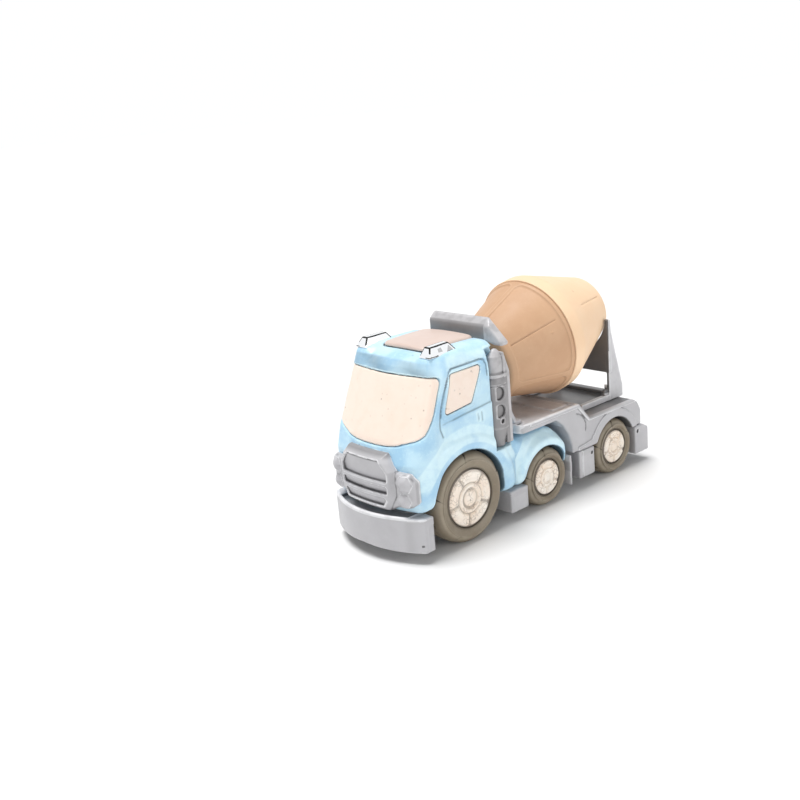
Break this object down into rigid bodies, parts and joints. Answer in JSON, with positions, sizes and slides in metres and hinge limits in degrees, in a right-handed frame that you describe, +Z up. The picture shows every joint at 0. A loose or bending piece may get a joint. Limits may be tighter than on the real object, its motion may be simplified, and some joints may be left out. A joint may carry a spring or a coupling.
{
  "type": "toy cement mixer truck",
  "caption": "Toy cement mixer: tractor unit with cream windows, trailer that swings on a kingpin, and a tilted mixing drum that turns.",
  "frame": {"origin": "on the ground under the middle of the truck, half way along and half way across", "axes": "+Z up, the truck faces -Y, +X is the truck's left side"},
  "size_m": [0.092, 0.26, 0.1597],
  "materials": {
    "blue_plastic": "satin moulded plastic with fine specks",
    "cream_plastic": "satin moulded plastic with dark specks",
    "grey_plastic": "satin moulded plastic",
    "smoke_plastic": "satin moulded plastic, darker",
    "tan_plastic": "satin moulded plastic",
    "sand_plastic": "satin moulded plastic",
    "tyre": "soft satin",
    "lamp_chrome": "bright plated plastic",
    "steel": "drawn wire and screws"
  },
  "bodies": {
    "tractor": {"cab_shell": "blue_plastic", "windshield": "cream_plastic", "side_window_left": "cream_plastic", "side_window_right": "cream_plastic", "roof_panel": "cream_plastic", "roof_light_left": "lamp_chrome", "roof_light_right": "lamp_chrome", "grille": "grey_plastic", "bumper": "grey_plastic", "roof_bar": "smoke_plastic", "exhaust_stack_left": "smoke_plastic", "exhaust_stack_right": "smoke_plastic", "tractor_chassis": "grey_plastic", "kingpin": "smoke_plastic", "kingpin_cap": "smoke_plastic", "tractor_screw_front": "steel", "tractor_screw_middle": "steel", "tractor_screw_rear": "steel"},
    "front_wheels": {"front_axle": "steel", "front_tyre_left": "tyre", "front_tyre_right": "tyre", "front_hub_left": "cream_plastic", "front_hub_right": "cream_plastic"},
    "middle_wheels": {"middle_axle": "steel", "middle_tyre_left": "tyre", "middle_tyre_right": "tyre", "middle_hub_left": "cream_plastic", "middle_hub_right": "cream_plastic"},
    "trailer": {"trailer_bed": "grey_plastic", "trailer_chassis": "grey_plastic", "rear_stand": "grey_plastic", "drum_front_support": "grey_plastic", "trailer_screw_front": "steel", "trailer_screw_rear": "steel"},
    "rear_wheels": {"rear_axle": "steel", "rear_tyre_left": "tyre", "rear_tyre_right": "tyre", "rear_hub_left": "cream_plastic", "rear_hub_right": "cream_plastic"},
    "drum": {"drum_front_shell": "tan_plastic", "drum_rear_shell": "sand_plastic", "drum_front_pin": "steel", "drum_rear_cap": "sand_plastic"}
  },
  "joints": [
    {"name": "front_wheels_spin", "type": "hinge", "parent": "tractor", "child": "front_wheels", "pos_m": [0, -0.07, 0.032], "axis": [1, 0, 0], "continuous": true},
    {"name": "middle_wheels_spin", "type": "hinge", "parent": "tractor", "child": "middle_wheels", "pos_m": [0, 0.0083, 0.022], "axis": [1, 0, 0], "continuous": true},
    {"name": "trailer_swing", "type": "hinge", "parent": "tractor", "child": "trailer", "pos_m": [0, 0, 0.057], "axis": [0, 0, 1], "range_deg": [-8, 8]},
    {"name": "rear_wheels_spin", "type": "hinge", "parent": "trailer", "child": "rear_wheels", "pos_m": [0, 0.0877, 0.022], "axis": [1, 0, 0], "continuous": true},
    {"name": "drum_spin", "type": "hinge", "parent": "trailer", "child": "drum", "pos_m": [0, -0.0064, 0.1041], "axis": [0, 0.9864, 0.1643], "continuous": true}
  ]
}
